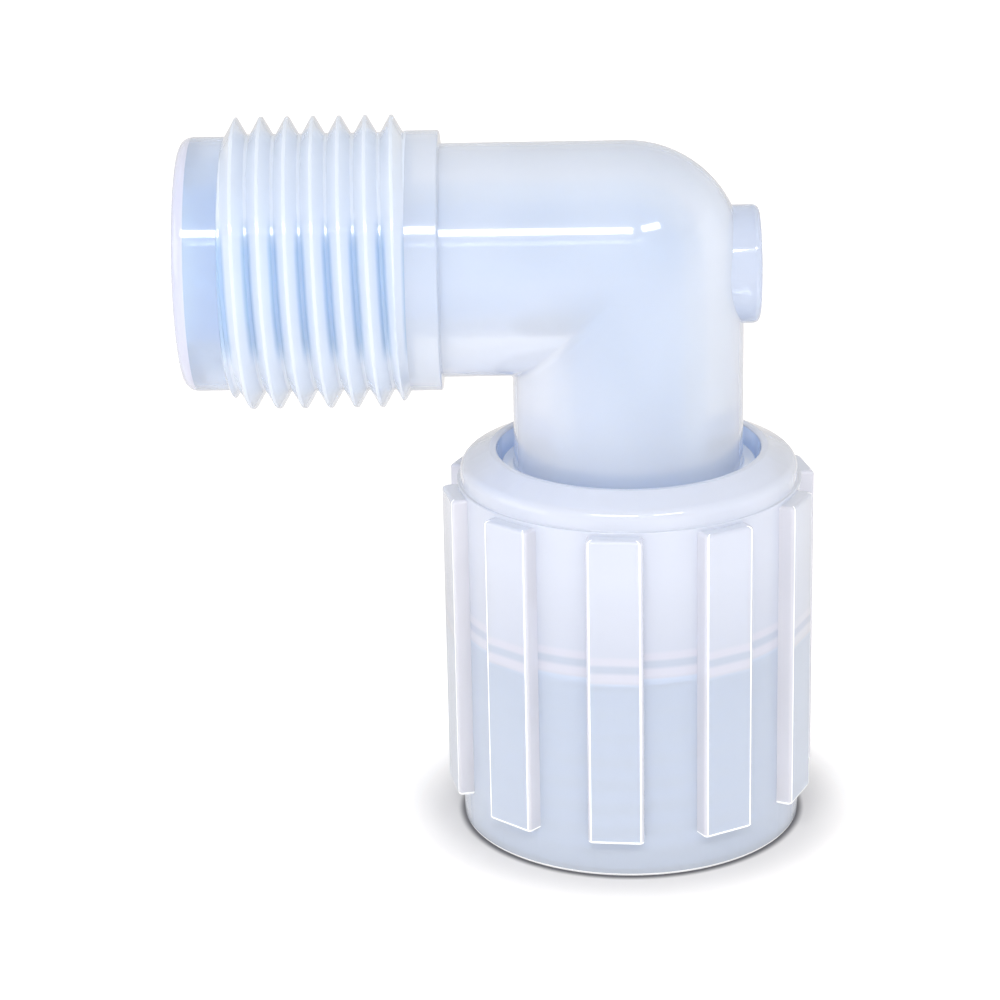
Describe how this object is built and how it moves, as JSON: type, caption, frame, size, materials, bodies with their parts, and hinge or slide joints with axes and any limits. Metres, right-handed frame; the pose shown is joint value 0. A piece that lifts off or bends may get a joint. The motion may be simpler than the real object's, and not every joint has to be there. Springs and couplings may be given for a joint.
{
  "type": "elbow tube fitting",
  "caption": "Translucent moulded elbow for tubing: a threaded leg at a right angle to a short pipe that carries a captive ribbed swivel nut.",
  "frame": {"origin": "centre of the swivel nut's mouth, on the surface that the fitting stands on", "axes": "+Z along the nut and the vertical pipe, towards the bend; the threaded leg points along -X"},
  "size_m": [0.0518, 0.0312, 0.0608],
  "materials": {
    "elbow_body": "natural translucent moulded fluoropolymer, smooth",
    "swivel_nut": "natural translucent moulded fluoropolymer, smooth"
  },
  "bodies": {
    "elbow": {"elbow_body": "elbow_body"},
    "nut": {"swivel_nut": "swivel_nut"}
  },
  "joints": [
    {"name": "nut_spin", "type": "hinge", "parent": "elbow", "child": "nut", "pos_m": [0, 0, 0.0178], "axis": [0, 0, 1], "continuous": true}
  ]
}
